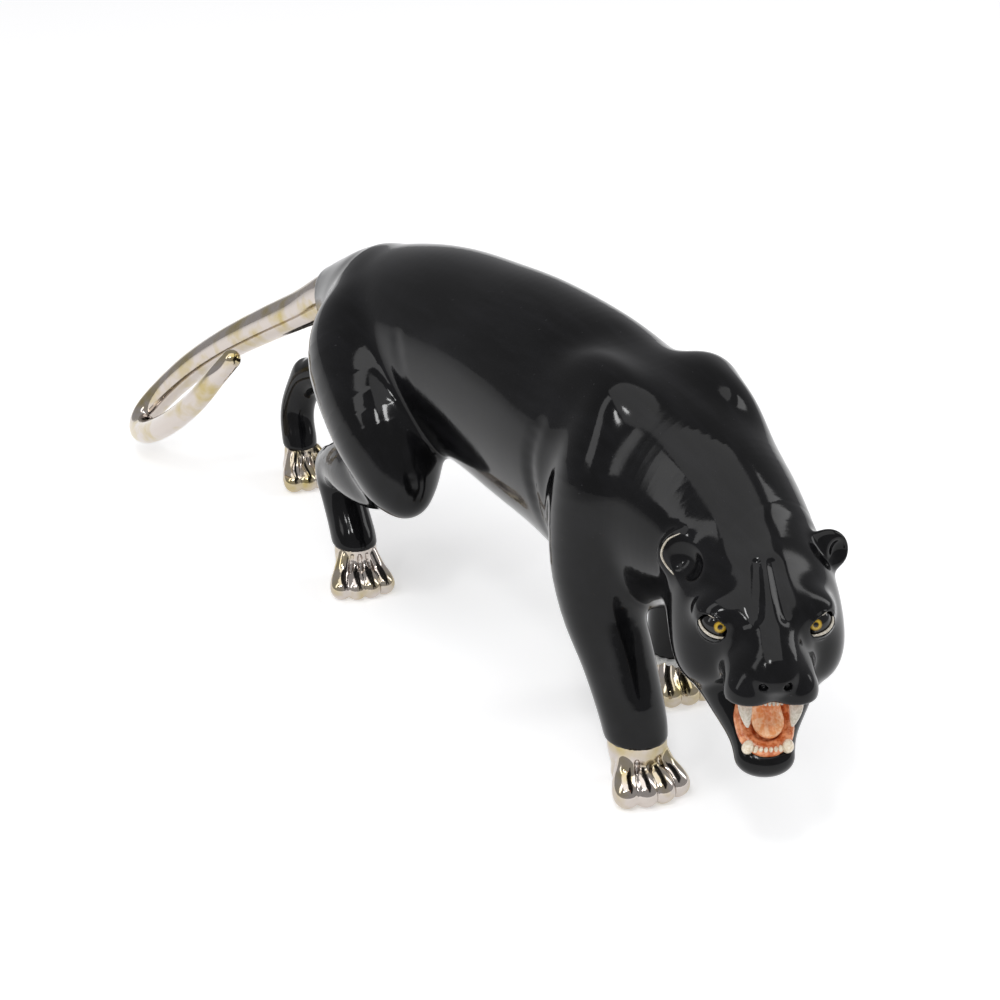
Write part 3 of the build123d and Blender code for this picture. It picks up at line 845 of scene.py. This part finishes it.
def whiteCement(values):
    # brushed-on bonding cement: chalky white and grainy
    finish, tree = newFinish("bondingCement")
    coords = addNode(tree, "ShaderNodeTexCoord").outputs["Object"]
    grain = noiseOf(tree, coords, values["grain"], 5, 0.7)
    tone = mixColours(tree, grain, hexColour(values["base"]), hexColour(values["shade"]))
    bump = addNode(tree, "ShaderNodeBump", {"Height": grain, "Strength": 0.5, "Distance": 0.3 * mm})
    closeFinish(tree, {"Base Color": tone, "Normal": bump.outputs["Normal"],
                       "Roughness": spread(tree, grain, 0.7, 0.95)})
    return finish


finishes = {
    "black_glaze": blackGlaze(dict(deep="#09090a", thin="#141416", speck="#3a3a3c", brush=9, dust=1.6, cloud=30, peel=2.2,
                                   rough=(0.06, 0.14), bump=0.10, shine=0.24)),
    "platinum_lustre": platinumLustre(dict(metal="#c9c0b9", yellow="#b9a872", patch=16, wear=9, pits=1.4,
                                           rough=(0.06, 0.15), bump=0.12)),
    "eye_enamel": eyeEnamel(dict(pupil="#060505", iris="#8f6f16", glow="#cfae38", inner=1.25, outer=2.95, wobble=0.5)),
    "tongue_glaze": paintedGlaze("peachTongueGlaze", dict(base="#f0a468", second="#ffd6ac", streak=2.0, bump=0.4,
                                                          rough=(0.15, 0.3))),
    "gum_glaze": paintedGlaze("brownOrangeGumGlaze", dict(base="#c0602e", second="#f0a878", streak=3.0, bump=0.3,
                                                          rough=(0.12, 0.25))),
    "tooth_glaze": paintedGlaze("ivoryToothGlaze", dict(base="#cfc8bb", second="#b3aa98", streak=1.6, bump=0.1,
                                                      rough=(0.08, 0.2))),
    "tooth_lustre": paintedGlaze("pearlLustreTooth", dict(base="#ece2cf", second="#d8c6a8", streak=1.2, bump=0.1,
                                                         rough=(0.08, 0.18))),
    "white_cement": whiteCement(dict(base="#eeeeec", shade="#cfcfcb", grain=0.8)),
}
for piece in pieces.values():
    piece.data.materials.clear()
    piece.data.materials.append(finishes[piece["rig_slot"]])
print("finishes made")

# Studio: a pale floor and world, a broad overhead light, two side panels and two small windows
low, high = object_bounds()
centre = (low + high) / 2
floorMesh = bpy.data.meshes.new("studio_floor")
span = 9  # metres from the middle to each edge
floorMesh.from_pydata([(-span, -span, 0), (span, -span, 0), (span, span, 0), (-span, span, 0)], [], [(0, 1, 2, 3)])
floor = bpy.data.objects.new("studio_floor", floorMesh)
bpy.context.scene.collection.objects.link(floor)
floorFinish, floorTree = newFinish("paleStudioFloor")
closeFinish(floorTree, {"Base Color": hexColour("#f4f4f4"), "Roughness": 0.9, "Emission Color": hexColour("#ffffff"),
                        "Emission Strength": 0.42, "Specular IOR Level": 0.0})
floorMesh.materials.append(floorFinish)

studio = dict(world="#a6a6a8", worldStrength=1.0)
world = bpy.data.worlds.new("studio")
bpy.context.scene.world = world
world.use_nodes = True
backdrop = world.node_tree.nodes["Background"]
backdrop.inputs["Color"].default_value = hexColour(studio["world"])
backdrop.inputs["Strength"].default_value = studio["worldStrength"]


def outFrom(azimuth, elevation):
    a, e = math.radians(azimuth), math.radians(elevation)
    return Vector((math.sin(a) * math.cos(e), -math.cos(a) * math.cos(e), math.sin(e)))


# azimuth and elevation round the figure, distance, width, height, brightness in W per square metre
lights = {
    "overhead": (-20, 76, 2.2, 2.6, 2.0, 1.25),
    "leftPanel": (-100, 38, 1.9, 0.4, 1.4, 2.4),
    "rightPanel": (70, 30, 2.2, 0.5, 1.5, 3.0),
    "windowUpper": (-44, 50, 1.9, 0.20, 0.26, 26.0),
    "windowLower": (-66, 40, 1.9, 0.14, 0.20, 22.0),
}
for name, (azimuth, elevation, distance, width, height, brightness) in lights.items():
    back = outFrom(azimuth, elevation)
    lamp = bpy.data.lights.new(name, "AREA")
    lamp.shape = "RECTANGLE"
    lamp.size, lamp.size_y = width, height
    lamp.energy = brightness * width * height * math.pi
    holder = bpy.data.objects.new(name, lamp)
    holder.location = centre + back * distance
    holder.rotation_euler = back.to_track_quat("Z", "Y").to_euler()
    bpy.context.scene.collection.objects.link(holder)

shot = dict(azimuth=-35, elevation=26, lens=90, distance=1.3, aim=(-0.0445, -0.0897, 0.0095))
back = outFrom(shot["azimuth"], shot["elevation"])
cadMiddle = (cadBounds[0] + cadBounds[1]) / 2
camera = bpy.data.objects.new("camera", bpy.data.cameras.new("camera"))
camera.data.lens = shot["lens"]
camera.location = cadMiddle + Vector(shot["aim"]) + back * shot["distance"]
camera.rotation_euler = back.to_track_quat("Z", "Y").to_euler()
bpy.context.scene.collection.objects.link(camera)
bpy.context.scene.camera = camera
bpy.context.scene.view_settings.view_transform = "Standard"
print("studio ready")
